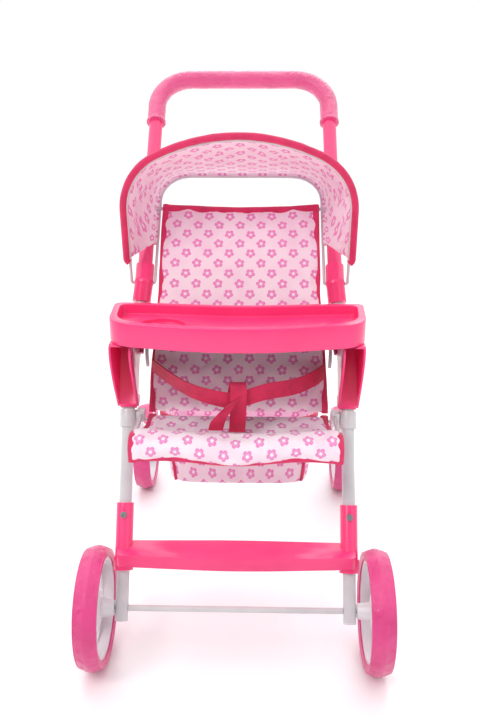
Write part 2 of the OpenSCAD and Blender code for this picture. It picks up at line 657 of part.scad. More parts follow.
// Outline of the tray, drawn in by d
function tray_outline(d) = rounded([[-tray_half + d, tray_back - d], [-tray_half + 6 + d, tray_front + 22 + d],
    [0, tray_front - 12 + d], [tray_half - 6 - d, tray_front + 22 + d], [tray_half - d, tray_back - d],
    [tray_half - 46 - d, tray_back - 3 - d], [0, tray_back - 15 - d], [46 - tray_half + d, tray_back - 3 - d]],
    [14, 30, 80, 30, 14, 16, 40, 16], 7);
cup_at = [-92, tray_back - 56, 0];
module tray() {
    floor_z = tray_z + tray_h - 13;
    tongue_x = arm_x0 + arm_w / 2;
    color("hotpink") difference() {
        union() {
            difference() {
                translate([0, 0, tray_z]) linear_extrude(tray_h) polygon(tray_outline(0));
                translate([0, 0, floor_z]) linear_extrude(20) polygon(tray_outline(rim_w));
                translate([0, 0, tray_z - 1]) linear_extrude(floor_z - tray_z - wall + 1)
                    polygon(tray_outline(wall));
            }
            translate(cup_at + [0, 0, floor_z - cup_deep - wall]) cylinder(d = cup_d + 2 * wall, h = cup_deep + wall);
            for (s = [-1, 1]) translate([s * tongue_x - 8, tongue_y, tray_z - 7])
                cube([16, 30, floor_z - tray_z + 7 - wall / 2]);
        }
        translate(cup_at + [0, 0, floor_z - cup_deep]) cylinder(d = cup_d, h = 30);
        for (s = [-1, 1]) translate([s * tongue_x - 6, tongue_y + 2, tray_z - 8])
            cube([12, 26, floor_z - tray_z + 8 - wall]);
    }
}

front_leg_left();
front_leg_right();
front_leg_plugs();
footrest();
footrest_screws();
front_axle();
front_axle_sleeve();
rear_axle();
rear_axle_sleeve();
front_left_tyre();
front_left_hub();
front_left_cap();
front_right_tyre();
front_right_hub();
front_right_cap();
rear_left_tyre();
rear_left_hub();
rear_left_cap();
rear_right_tyre();
rear_right_hub();
rear_right_cap();
rear_leg_left();
rear_leg_right();
rear_leg_plugs();
rear_cross_brace();
leg_hinge_left();
leg_hinge_right();
hinge_rivets();
armrest_left();
armrest_right();
pivot_clamp_left();
pivot_clamp_right();
fold_latch_left();
fold_latch_right();
collar_left();
collar_right();
handle_tube();
handle_grip();
canopy_front_hoop();
canopy_rear_hoop();
canopy_fabric();
seat_frame();
seat_clips();
seat_base();
seat_back();
back_bar();
waist_belt();
crotch_strap();
basket_frame();
basket();
tray();
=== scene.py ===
"""Looks of the doll stroller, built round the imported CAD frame. Metres, same frame as the CAD."""
import json
import math

import bmesh
import bpy
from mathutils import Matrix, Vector, noise


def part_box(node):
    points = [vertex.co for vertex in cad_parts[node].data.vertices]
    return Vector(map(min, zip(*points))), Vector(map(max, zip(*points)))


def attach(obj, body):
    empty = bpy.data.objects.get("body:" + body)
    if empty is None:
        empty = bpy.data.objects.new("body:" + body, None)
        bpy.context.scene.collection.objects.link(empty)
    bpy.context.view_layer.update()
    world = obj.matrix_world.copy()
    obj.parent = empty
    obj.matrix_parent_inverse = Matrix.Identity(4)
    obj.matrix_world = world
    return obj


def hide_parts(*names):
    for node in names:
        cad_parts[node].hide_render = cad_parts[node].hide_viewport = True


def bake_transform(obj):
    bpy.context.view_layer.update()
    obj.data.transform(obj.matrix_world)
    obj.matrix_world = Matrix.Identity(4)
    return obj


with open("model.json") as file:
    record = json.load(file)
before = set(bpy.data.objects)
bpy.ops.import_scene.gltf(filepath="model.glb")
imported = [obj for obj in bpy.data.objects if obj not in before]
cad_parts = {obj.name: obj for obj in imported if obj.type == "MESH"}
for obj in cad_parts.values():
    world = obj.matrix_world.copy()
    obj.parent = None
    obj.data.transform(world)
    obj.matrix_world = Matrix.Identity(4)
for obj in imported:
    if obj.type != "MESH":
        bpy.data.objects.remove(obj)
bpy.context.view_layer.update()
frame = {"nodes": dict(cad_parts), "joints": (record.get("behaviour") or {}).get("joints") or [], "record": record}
joints = {j["name"]: j for j in frame["joints"]}


# ---------------------------------------------------------------- camera
def make_camera():
    """A camera in front of the stroller, a little above it and looking slightly down."""
    yaw, pitch = -0.0245, 0.3366
    place = Vector((0.0255, -1.0411, 0.6826))
    look = Vector((math.sin(yaw) * math.cos(pitch), math.cos(yaw) * math.cos(pitch), -math.sin(pitch)))
    data = bpy.data.cameras.new("camera")
    data.sensor_width = 36
    data.lens = 39.46
    data.clip_start = 0.01
    camera = bpy.data.objects.new("camera", data)
    camera.location = place
    camera.rotation_euler = look.to_track_quat("-Z", "Y").to_euler()
    bpy.context.scene.collection.objects.link(camera)
    bpy.context.scene.camera = camera


make_camera()
bpy.context.scene.view_settings.view_transform = "Standard"


# ---------------------------------------------------------------- materials
def srgb(text):
    """A colour written as #RRGGBB, as linear values."""
    parts = [int(text[i:i + 2], 16) / 255 for i in (1, 3, 5)]
    return tuple(c / 12.92 if c <= 0.04045 else ((c + 0.055) / 1.055) ** 2.4 for c in parts) + (1,)


class Nodes:
    """A small helper that adds shader nodes and joins them."""

    def __init__(self, name, rough, **sockets):
        self.mat = bpy.data.materials.new(name)
        self.mat.use_nodes = True
        self.tree = self.mat.node_tree
        self.shader = self.tree.nodes["Principled BSDF"]
        self.shader.inputs["Roughness"].default_value = rough
        for key, value in sockets.items():
            self.shader.inputs[key.replace("_", " ")].default_value = value

    def add(self, kind, **props):
        node = self.tree.nodes.new(kind)
        for key, value in props.items():
            setattr(node, key, value)
        return node

    def feed(self, socket, value):
        if isinstance(value, bpy.types.NodeSocket):
            self.tree.links.new(value, socket)
        else:
            socket.default_value = value

    def math(self, op, a, b=0.0, c=0.0):
        node = self.add("ShaderNodeMath", operation=op)
        for socket, value in zip(node.inputs, (a, b, c)):
            self.feed(socket, value)
        return node.outputs[0]

    def noise(self, scale, detail=3.0, vector=None, rough=0.5):
        node = self.add("ShaderNodeTexNoise")
        node.inputs["Scale"].default_value = scale
        node.inputs["Detail"].default_value = detail
        node.inputs["Roughness"].default_value = rough
        self.feed(node.inputs["Vector"], vector or self.place())
        return node.outputs["Fac"]

    def place(self):
        return self.add("ShaderNodeTexCoord").outputs["Object"]

    def uv(self):
        split = self.add("ShaderNodeSeparateXYZ")
        self.feed(split.inputs[0], self.add("ShaderNodeTexCoord").outputs["UV"])
        return split.outputs[0], split.outputs[1]

    def mix(self, share, a, b):
        node = self.add("ShaderNodeMix", data_type="RGBA")
        self.feed(node.inputs[0], share)
        self.feed(node.inputs[6], a)
        self.feed(node.inputs[7], b)
        return node.outputs[2]

    def ramp(self, value, low, high):
        node = self.add("ShaderNodeMapRange", interpolation_type="SMOOTHSTEP")
        self.feed(node.inputs[0], value)
        node.inputs[1].default_value = low
        node.inputs[2].default_value = high
        return node.outputs[0]

    def colour(self, value):
        self.feed(self.shader.inputs["Base Color"], value)

    def rough(self, value):
        self.feed(self.shader.inputs["Roughness"], value)

    def bump(self, height, distance, strength=1.0, below=None):
        node = self.add("ShaderNodeBump")
        node.inputs["Distance"].default_value = distance
        node.inputs["Strength"].default_value = strength
        self.feed(node.inputs["Height"], height)
        if below is not None:
            self.feed(node.inputs["Normal"], below)
        return node.outputs[0]

    def normal(self, value):
        self.feed(self.shader.inputs["Normal"], value)


def moulded(name, colour, shade, rough=0.28, coat=0.25, grain=900.0):
    """Glossy moulded plastic: slight mottling, a fine orange peel and uneven gloss."""
    n = Nodes(name, rough, Coat_Weight=coat, Coat_Roughness=0.12)
    cloud = n.ramp(n.noise(14.0, 4.0), 0.35, 0.7)
    n.colour(n.mix(cloud, srgb(colour), srgb(shade)))
    scuff = n.ramp(n.noise(60.0, 6.0, rough=0.7), 0.55, 0.75)
    n.rough(n.math("MULTIPLY_ADD", scuff, 0.12, rough))
    soft = n.bump(n.noise(9.0, 2.0), 0.0008, 0.5)
    n.normal(n.bump(n.noise(grain, 2.0), 0.00006, 0.5, soft))
    return n.mat


def painted(name, colour, shade, rough=0.3, metal=0.0):
    """Powder paint on a metal tube."""
    n = Nodes(name, rough, Coat_Weight=0.3, Coat_Roughness=0.1, Metallic=metal)
    n.colour(n.mix(n.ramp(n.noise(22.0, 5.0), 0.4, 0.72), srgb(colour), srgb(shade)))
    n.rough(n.math("MULTIPLY_ADD", n.noise(45.0, 4.0), 0.14, rough - 0.05))
    n.normal(n.bump(n.noise(1400.0, 2.0), 0.00004, 0.5))
    return n.mat


def foam(name, colour, shade, rough=0.5, pore=2400.0, depth=0.00012, coat=0.15, crinkle=0.0):
    """Foamed plastic with fine pores, as on the tyres and the grip; its skin may be crinkled."""
    n = Nodes(name, rough, Coat_Weight=coat, Coat_Roughness=0.3 - 0.25 * coat)
    folds = n.math("ABSOLUTE", n.math("SUBTRACT", n.noise(70.0, 5.0, rough=0.6), 0.5))
    skin = n.bump(n.ramp(folds, 0.0, 0.12), crinkle, 1.0)
    n.feed(n.shader.inputs["Coat Normal"], skin)
    pores = n.ramp(n.noise(pore, 2.0), 0.35, 0.6)
    cloud = n.ramp(n.noise(30.0, 5.0), 0.35, 0.7)
    n.colour(n.mix(n.math("MULTIPLY", cloud, 0.8), srgb(colour), srgb(shade)))
    n.rough(n.math("MULTIPLY_ADD", cloud, 0.15, rough - 0.05))
    n.normal(n.bump(pores, depth, 0.5, n.bump(n.noise(120.0, 4.0), 0.0003, 0.4)))
    return n.mat


def steel(name):
    """Zinc-plated steel with fine turning marks."""
    n = Nodes(name, 0.3, Metallic=1.0)
    n.colour(n.mix(n.noise(180.0, 4.0), srgb("#C9CBD0"), srgb("#8F9299")))
    n.rough(n.math("MULTIPLY_ADD", n.noise(320.0, 5.0), 0.25, 0.18))
    n.normal(n.bump(n.noise(1800.0, 2.0), 0.00005, 0.4))
    return n.mat


def flowers(name, base, shade, petal, fill, eye, pitch=0.028, size=0.0064):
    """Woven cloth printed with five-petalled flowers in staggered rows."""
    n = Nodes(name, 0.8, Sheen_Weight=0.25, Sheen_Roughness=0.5)
    u, v = n.uv()

    def lattice(shift, turn):
        du = n.math("MULTIPLY", n.math("SUBTRACT", n.math("FRACT", n.math("ADD",
             n.math("DIVIDE", u, pitch), shift)), 0.5), pitch)
        dv = n.math("MULTIPLY", n.math("SUBTRACT", n.math("FRACT", n.math("ADD",
             n.math("DIVIDE", v, pitch), shift)), 0.5), pitch)
        away = n.math("SQRT", n.math("ADD", n.math("MULTIPLY", du, du), n.math("MULTIPLY", dv, dv)))
        angle = n.math("ADD", n.math("ARCTAN2", dv, du), turn)
        lobe = n.math("ABSOLUTE", n.math("COSINE", n.math("MULTIPLY", angle, 2.5)))
        edge = n.math("MULTIPLY_ADD", n.math("POWER", lobe, 0.6), 0.42 * size, 0.6 * size)
        return away, n.math("DIVIDE", away, edge)

    away_a, share_a = lattice(0.0, 0.3)
    away_b, share_b = lattice(0.5, -0.5)
    away = n.math("MINIMUM", away_a, away_b)
    share = n.math("MINIMUM", share_a, share_b)
    bleed = n.math("MULTIPLY", n.math("SUBTRACT", n.noise(900.0, 2.0), 0.5), 0.12)
    share = n.math("ADD", share, bleed)
    cloth = n.mix(n.ramp(n.noise(24.0, 4.0), 0.4, 0.7), srgb(base), srgb(shade))
    inside = n.math("SUBTRACT", 1.0, n.ramp(share, 0.93, 1.04))
    print_a = n.mix(n.math("MULTIPLY", inside, 0.92), cloth, srgb(petal))
    inner = n.math("SUBTRACT", 1.0, n.ramp(share, 0.56, 0.72))
    print_b = n.mix(n.math("MULTIPLY", inner, 0.85), print_a, srgb(fill))
    centre = n.math("SUBTRACT", 1.0, n.ramp(away, 0.0015, 0.0023))
    n.colour(n.mix(centre, print_b, srgb(eye)))
    crumple = n.bump(n.noise(38.0, 4.0, rough=0.6), 0.0016, 0.5)
    u_wave = n.math("SINE", n.math("MULTIPLY", u, math.tau / 0.0011))
    v_wave = n.math("SINE", n.math("MULTIPLY", v, math.tau / 0.0011))
    n.normal(n.bump(n.math("MULTIPLY", u_wave, v_wave), 0.00012, 0.5, crumple))
    return n.mat


def ribbed(name, colour, shade, pitch=0.0016, rough=0.6, sheen=0.3):
    """Twill tape or webbing, with ribs along its length and a little wear."""
    n = Nodes(name, rough, Sheen_Weight=sheen, Sheen_Roughness=0.4)
    u, v = n.uv()
    rib = n.math("SINE", n.math("MULTIPLY", n.math("ADD", u, n.math("MULTIPLY", v, 0.6)), math.tau / pitch))
    cloud = n.ramp(n.noise(70.0, 4.0), 0.35, 0.7)
    n.colour(n.mix(n.math("MULTIPLY_ADD", rib, 0.2, n.math("MULTIPLY", cloud, 0.6)),
                   srgb(colour), srgb(shade)))
    n.normal(n.bump(rib, 0.00025, 0.6, n.bump(n.noise(90.0, 4.0), 0.0006, 0.4)))
    return n.mat


MAT = {
    "plastic_pink": moulded("plastic_pink", "#FF3F83", "#F8357A"),
    "plastic_magenta": moulded("plastic_magenta", "#C8205F", "#B01852", 0.35, 0.15),
    "paint_pink": painted("paint_pink", "#F9417F", "#EE3A78"),
    "grip_foam": foam("grip_foam", "#E84E8C", "#D9407E", 0.4, 1200.0, 0.0001, 0.9, 0.004),
    "tyre_pink": foam("tyre_pink", "#E23484", "#D62B79", coat=0.7, crinkle=0.0012),
    "hub_white": moulded("hub_white", "#E6E1E5", "#D9D3D8", 0.3, 0.2),
    "plastic_white": moulded("plastic_white", "#DEDBDD", "#D0CCCF", 0.35, 0.1),
    "paint_white": painted("paint_white", "#D6D3D6", "#C9C6CA"),
    "steel": steel("steel"),
    "webbing": ribbed("webbing", "#E8245A", "#C4184A", 0.0017),
    "binding": ribbed("binding", "#EA2B68", "#CF1F58", 0.0014),
    "flower_fabric": flowers("flower_fabric", "#FFECF6", "#FBDDED", "#EC7FC2", "#F3A0D2", "#FFF6FC"),
    "thread": ribbed("thread", "#FFB3D2", "#F590BC", 0.0009),
}


# ---------------------------------------------------------------- mesh helpers
def link(mesh, name, mat):
    """A new object in the scene with one material."""
    piece = bpy.data.objects.new(name, mesh)
    bpy.context.scene.collection.objects.link(piece)
    mesh.materials.clear()
    mesh.materials.append(mat)
    return piece


def smooth(piece, angle=35.0):
    """Smooth shading with sharp edges above the angle."""
    mesh = piece.data
    mesh.polygons.foreach_set("use_smooth", [True] * len(mesh.polygons))
    mesh.set_sharp_from_angle(angle=math.radians(angle))
    return piece


def bake(piece):
    """Turns the piece's modifiers into plain mesh."""
    graph = bpy.context.evaluated_depsgraph_get()
    mesh = bpy.data.meshes.new_from_object(piece.evaluated_get(graph), depsgraph=graph)
    old = piece.data
    piece.modifiers.clear()
    piece.data = mesh
    bpy.data.meshes.remove(old)
    return piece


def body_of_node(node):
    """The body that a CAD node belongs to, as the record has it."""
    for body, nodes in frame["record"]["behaviour"]["bodies"].items():
        if node in nodes:
            return body
    raise ValueError(node)


def softened(node, mat, width=0.0012, segments=3, angle=40.0):
    """A copy of a CAD node with its edges rounded off, which replaces the node."""
    mesh = frame["nodes"][node].data.copy()
    piece = link(mesh, node + "_finish", mat)
    bm = bmesh.new()
    bm.from_mesh(mesh)
    bmesh.ops.remove_doubles(bm, verts=bm.verts, dist=2e-6)
    bmesh.ops.dissolve_limit(bm, angle_limit=math.radians(1.0), verts=bm.verts, edges=bm.edges)
    bm.to_mesh(mesh)
    bm.free()
    bevel = piece.modifiers.new("edge", "BEVEL")
    bevel.width = width
    bevel.segments = segments
    bevel.limit_method = "ANGLE"
    bevel.angle_limit = math.radians(angle)
    bevel.harden_normals = False
    bevel.use_clamp_overlap = True
    bake(piece)
    smooth(piece, 32.0)
    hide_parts(node)
    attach(piece, body_of_node(node))
    return piece


def lattice(rows, cols, point, closed_rows=False, closed_cols=False):
    """Corners and faces of a grid whose corner (i, j) stands at point(i, j)."""
    spots = [point(i, j) for i in range(rows) for j in range(cols)]
    faces = []
    for i in range(rows if closed_rows else rows - 1):
        for j in range(cols if closed_cols else cols - 1):
            a, b = i * cols + j, i * cols + (j + 1) % cols
            c, d = ((i + 1) % rows) * cols + (j + 1) % cols, ((i + 1) % rows) * cols + j
            faces.append((a, b, c, d))
    return spots, faces


def sheet_piece(name, rows, cols, point, mat, thick):
    """A thick sheet through a grid of points. Its UVs are metres along the sheet."""
    spots, faces = lattice(rows, cols, point)
    grid = [[Vector(spots[i * cols + j]) for j in range(cols)] for i in range(rows)]
    across = [[0.0] * cols for _ in range(rows)]
    down = [[0.0] * cols for _ in range(rows)]
    for i in range(rows):
        for j in range(1, cols):
            across[i][j] = across[i][j - 1] + (grid[i][j] - grid[i][j - 1]).length
        middle = across[i][cols // 2]
        across[i] = [a - middle for a in across[i]]
    for j in range(cols):
        for i in range(1, rows):
            down[i][j] = down[i - 1][j] + (grid[i][j] - grid[i - 1][j]).length
    mesh = bpy.data.meshes.new(name)
    mesh.from_pydata(spots, [], faces)
    layer = mesh.uv_layers.new(name="UVMap")
    for loop in mesh.loops:
        i, j = divmod(loop.vertex_index, cols)
        layer.data[loop.index].uv = (across[i][j], down[i][j])
    piece = link(mesh, name, mat)
    if thick:
        solid = piece.modifiers.new("thick", "SOLIDIFY")
        solid.thickness = thick
        solid.offset = 0
        bake(piece)
    return smooth(piece, 70.0)


def swept(name, line, radius, mat, sides=16, closed=False, flat=1.0, aim=None):
    """A round or flattened bar along a line of points, with UVs in metres.
    A flattened bar is widest along aim, a list with a direction for each point."""
    line = [Vector(p) for p in line]
    count = len(line)
    normal = None
    rings = []
    for i, p in enumerate(line):
        if closed:
            t = (line[(i + 1) % count] - line[i - 1]).normalized()
        else:
            t = (line[min(i + 1, count - 1)] - line[max(i - 1, 0)]).normalized()
        if aim is not None:
            normal = aim[i]
        elif normal is None:
            normal = t.orthogonal().normalized()
        normal = (normal - t * normal.dot(t)).normalized()
        other = t.cross(normal)
        rings.append([p + (normal * math.cos(a) + other * math.sin(a) * flat) * radius
                      for a in (math.tau * k / sides for k in range(sides))])
    spots = [q for ring in rings for q in ring]
    faces = []
    for i in range(count if closed else count - 1):
        for k in range(sides):
            a, b = i * sides + k, i * sides + (k + 1) % sides
            c, d = ((i + 1) % count) * sides + (k + 1) % sides, ((i + 1) % count) * sides + k
            faces.append((a, b, c, d))
    if not closed:
        faces.append(tuple(range(sides - 1, -1, -1)))
        faces.append(tuple((count - 1) * sides + k for k in range(sides)))
    mesh = bpy.data.meshes.new(name)
    mesh.from_pydata(spots, [], faces)
    mesh.uv_layers.new(name="UVMap")
    along = [0.0]
    for i in range(1, count):
        along.append(along[-1] + (line[i] - line[i - 1]).length)
    layer = mesh.uv_layers["UVMap"]
    for face in mesh.polygons:
        for li in face.loop_indices:
            i, k = divmod(mesh.loops[li].vertex_index, sides)
            layer.data[li].uv = (radius * math.tau * k / sides, along[i])
    return smooth(link(mesh, name, mat), 60.0)


def curve_points(points, steps=8):
    """A smooth line through the points."""
    pts = [Vector(p) for p in points]
    pts = [pts[0] * 2 - pts[1]] + pts + [pts[-1] * 2 - pts[-2]]
    out = []
    for i in range(1, len(pts) - 2):
        a, b, c, d = pts[i - 1:i + 3]
        for k in range(steps):
            t = k / steps
            out.append(0.5 * ((2 * b) + (c - a) * t + (2 * a - 5 * b + 4 * c - d) * t * t
                              + (3 * b - a - 3 * c + d) * t ** 3))
    out.append(pts[-2])
    return out


# ---------------------------------------------------------------- places taken from the frame
collar = Vector(joints["canopy_fold"]["pos_m"])
front_hub = Vector(joints["front_left_spin"]["pos_m"])
handle_lean = math.radians(43.3)
hoop_lean = math.radians(13.5)
handle_up = Vector((0, math.sin(handle_lean), math.cos(handle_lean)))
handle_face = Vector((0, -math.cos(handle_lean), math.sin(handle_lean)))
hoop_up = Vector((0, -math.sin(hoop_lean), math.cos(hoop_lean)))
ACROSS = Vector((1, 0, 0))


def bent(points, radii, steps=8):
    """A line whose inner corners are true arcs of the given radii."""
    pts = [Vector(p) for p in points]
    out = [pts[0]]
    for p, q, s, r in zip(pts, pts[1:], pts[2:], radii):
        u, v = (p - q).normalized(), (s - q).normalized()
        turn = math.pi - u.angle(v)
        middle = q + (u + v).normalized() * r / math.cos(turn / 2)
        start = (q + u * r * math.tan(turn / 2) - middle).normalized()
        for k in range(steps + 1):
            a = turn * k / steps
            out.append(middle + r * (start * math.cos(a) - u * math.sin(a)))
    out.append(pts[-1])
    return out


def even(line, count):
    """The same line with evenly spaced points."""
    line = [Vector(p) for p in line]
    gaps = [(b - a).length for a, b in zip(line, line[1:])]
    total = sum(gaps)
    out, k, done = [], 0, 0.0
    for i in range(count):
        want = total * i / (count - 1)
        while k < len(gaps) - 1 and done + gaps[k] < want:
            done += gaps[k]
            k += 1
        share = 0 if gaps[k] == 0 else min(1, (want - done) / gaps[k])
        out.append(line[k].lerp(line[k + 1], share))
    return out


def finish_piece(piece, body, slot, *nodes):
    """Hangs a piece on the empty of the body it rides on and hides the CAD nodes it stands for.
    A blended piece has no body. The slot argument is not used."""
    if body:
        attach(piece, body)
    if nodes:
        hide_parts(*nodes)
    return piece


# ---------------------------------------------------------------- CAD nodes that keep their shape
slot_of = {s["node"]: s["material_slot"] for s in frame["record"]["subparts"]}


def dress_cad_nodes():
    """Gives every CAD node the material of its slot and smooth shading."""
    for node, piece in frame["nodes"].items():
        mesh = piece.data
        mesh.materials.clear()
        mesh.materials.append(MAT[slot_of[node]])
        smooth(piece, 32.0)


dress_cad_nodes()
EDGES = {"tray": 0.0024, "footrest": 0.0022, "armrest_left": 0.0010, "armrest_right": 0.0010,
         "collar_left": 0.0012, "collar_right": 0.0012, "pivot_clamp_left": 0.0009,
         "pivot_clamp_right": 0.0009, "fold_latch_left": 0.0008, "fold_latch_right": 0.0008,
         "leg_hinge_left": 0.0006, "leg_hinge_right": 0.0006, "seat_clips": 0.0008}
WHEELS = ("front_left", "front_right", "rear_left", "rear_right")
for wheel in WHEELS:
    EDGES[wheel + "_hub"] = 0.0007
    EDGES[wheel + "_cap"] = 0.0009
for node, width in EDGES.items():
    softened(node, MAT[slot_of[node]], width)


# ---------------------------------------------------------------- tyres
def heart(x, y):
    """Whether a point lies inside a heart about one unit in size."""
    return (x * x + y * y - 1) ** 3 - x * x * y ** 3 < 0


def relief(along, side):
    """Height of the moulded hearts and curls on a tyre's shoulder: 1 on a motif, 0 beside it."""
    pitch = math.tau / 26
    cell = math.floor(along / pitch)
    x = (along / pitch - cell - 0.5) * 2
    if cell % 2 == 0:
        return 1.0 if heart(x * 2.1, side * 1.35) else 0.0
    away = math.hypot(x * 1.25, side * 0.9)
    turn = math.atan2(side, x)
    curl = 0.36 + 0.1 * turn / math.pi
    return 1.0 if abs(away - curl) < 0.11 or away < 0.1 else 0.0


def make_tyre(wheel):
    """A tyre of revolution with shallow hearts and curls moulded on both shoulders."""
    low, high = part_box(wheel + "_tyre")
    hub = Vector(joints[wheel + "_spin"]["pos_m"])
    mid = (low[0] + high[0]) / 2
    half = (high[0] - low[0]) / 2
    top = (high[2] - low[2]) / 2
    corners = [(top - 0.013, -half + 0.002), (top - 0.0065, -half), (top - 0.0042, -half + 0.0006),
               (top - 0.0003, -0.0034), (top, 0.0), (top - 0.0003, 0.0034), (top - 0.0042, half - 0.0006),
               (top - 0.0065, half), (top - 0.013, half - 0.002)]
    profile = []
    for a, b in zip(corners, corners[1:]):
        steps = 12 if abs(b[1] - a[1]) > 0.008 else 3
        profile += [(a[0] + (b[0] - a[0]) * k / steps, a[1] + (b[1] - a[1]) * k / steps)
                    for k in range(steps)]
    profile.append(corners[-1])
    rounds = 416

    def point(i, j):
        turn = math.tau * i / rounds
        r, x = profile[j]
        side = (abs(x) - half * 0.56) / (half * 0.36)
        if abs(side) < 1.1:
            r -= 0.00045 * (1 - relief(turn + (0.12 if x > 0 else 0), side))
        return (mid + x, hub.y + r * math.cos(turn), hub.z + r * math.sin(turn))

    spots, faces = lattice(rounds, len(profile), point, closed_rows=True)
    inner = len(profile)
    faces += [(i * inner, ((i + 1) % rounds) * inner, ((i + 1) % rounds) * inner + inner - 1,
               i * inner + inner - 1) for i in range(rounds)]
    mesh = bpy.data.meshes.new(wheel + "_tyre_moulded")
    mesh.from_pydata(spots, [], faces)
    bm = bmesh.new()
    bm.from_mesh(mesh)
    bmesh.ops.recalc_face_normals(bm, faces=bm.faces)
    bm.to_mesh(mesh)
    bm.free()
    piece = link(mesh, wheel + "_tyre_moulded", MAT["tyre_pink"])
    smooth(piece, 50.0)
    finish_piece(piece, wheel + "_wheel", "tyre_pink", wheel + "_tyre")


for wheel in WHEELS:
    make_tyre(wheel)


# ---------------------------------------------------------------- handle and its grip
def make_handle():
    """The bent handle tube and the soft grip round its top."""
    tube_radius, grip_radius, sides = 0.0095, 0.0128, 44
    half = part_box("handle_tube")[1][0] - tube_radius
    top = collar + handle_up * 0.346
    foot = collar + handle_up * 0.0045
    line = bent([foot - ACROSS * half, top - ACROSS * half, top + ACROSS * half, foot + ACROSS * half],
                [0.05, 0.05], 14)
    tube = swept("handle_tube_smooth", line, tube_radius, MAT["paint_pink"], 40)
    finish_piece(tube, "frame", "paint_pink", "handle_tube")
    start = collar + handle_up * 0.265
    line = bent([start - ACROSS * half, top - ACROSS * half, top + ACROSS * half, start + ACROSS * half],
                [0.05, 0.05], 20)
    line = even(line, 260)
    grip = swept("handle_grip_soft", line, grip_radius, MAT["grip_foam"], sides)
    count = len(line)
    for v in grip.data.vertices:
        i = min(v.index // sides, count - 1)
        end = min(i, count - 1 - i)
        swell = 0.0010 if end < 3 else 0.0
        p = line[i]
        away = (v.co - p).normalized()
        fold = noise.noise(Vector((v.co.x * 60, v.co.y * 60, v.co.z * 60)))
        crease = abs(noise.noise(Vector((v.co.x * 110 + 7, v.co.y * 110, v.co.z * 110))))
        v.co += away * (swell + 0.0002 * fold - 0.00035 * (1 - min(1, crease * 6)))
    finish_piece(grip, "frame", "grip_foam", "handle_grip")


make_handle()


# ---------------------------------------------------------------- canopy
def hoop_line(up, half, corner, points_top, low):
    """An arch standing on the collar: up its own lean, from height low round to low again."""
    at = lambda x, h: collar + ACROSS * x + up * h
    return bent([at(-half, low)] + [at(x, h) for x, h in points_top] + [at(half, low)], corner, 12)


def make_canopy():
    """The canopy cloth, stretched between its front and rear arches and gathered at a seam."""
    proud = 0.0034
    low, low_rear = 0.033, 0.060
    half_f, half_r = 0.141 + proud, 0.1105 + proud
    front = hoop_line(hoop_up, half_f, [0.078, 0.22, 0.078],
                      [(-half_f + 0.002, 0.148 + proud), (0, 0.21 + proud),
                       (half_f - 0.002, 0.148 + proud)], low)
    rear = hoop_line(handle_up, half_r, [0.044, 0.044],
                     [(-half_r, 0.17 + proud), (half_r, 0.17 + proud)], low_rear)
    cols, rows = 150, 44
    front, rear = even(front, cols), even(rear, cols)
    seam = 0.27
    middle = collar + (hoop_up + handle_up) * 0.04

    def point(i, j):
        t = i / (rows - 1)
        p = front[j].lerp(rear[j] + handle_face * 0.003, t)
        out = (p - middle).normalized()
        arc = j / (cols - 1)
        droop = -0.006 * math.sin(math.pi * t) * math.sin(math.pi * arc) ** 0.5
        near = math.exp(-((t - seam) / 0.05) ** 2)
        fade = math.exp(-max(0, t - seam) / 0.16) * (1 if t > seam else math.exp(-(seam - t) / 0.035))
        gather = 0.0016 * math.sin(arc * 210 + 2.0 * math.sin(arc * 31)) * fade
        crease = 0.0022 * noise.noise(Vector((arc * 9, t * 3.2, 4.0))) * math.sin(math.pi * t)
        return p + out * (droop + gather + crease + 0.0012 * near)

    sheet = sheet_piece("canopy_sheet", rows, cols, point, MAT["flower_fabric"], 0.0009)
    return sheet, front, rear, point, rows, cols, seam


canopy, front_arch, rear_arch, canopy_point, canopy_rows, canopy_cols, canopy_seam = make_canopy()
finish_piece(canopy, None, "flower_fabric", "canopy_fabric")
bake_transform(canopy)


def make_canopy_trim():
    """Binding over the front wire, a hem on the rear wire and the gathered seam between."""
    foot_mid = collar + hoop_up * 0.030
    foot = [foot_mid - ACROSS * 0.1415, foot_mid + ACROSS * 0.1415]
    line = [foot[0]] + list(front_arch) + [foot[1]]
    binding = swept("canopy_binding", even(line, 170), 0.0054, MAT["binding"], 14, flat=0.8)
    for v in binding.data.vertices:
        v.co += Vector((0, 0, 0.0004 * noise.noise(v.co * 90)))
    finish_piece(binding, "canopy_bow", "webbing")
    hem = swept("canopy_rear_hem", even(rear_arch, 130), 0.0034, MAT["flower_fabric"], 12)
    finish_piece(hem, "frame", "flower_fabric")
    seam_row = canopy_seam * (canopy_rows - 1)
    ruffle = [Vector(canopy_point(seam_row, j)) for j in range(canopy_cols)]
    spots = []
    for k, p in enumerate(ruffle):
        out = (p - collar).normalized()
        spots.append(p + out * 0.0009)
    cord = swept("canopy_seam", spots, 0.0011, MAT["thread"], 8)
    finish_piece(cord, None, "flower_fabric")
    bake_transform(cord)


make_canopy_trim()


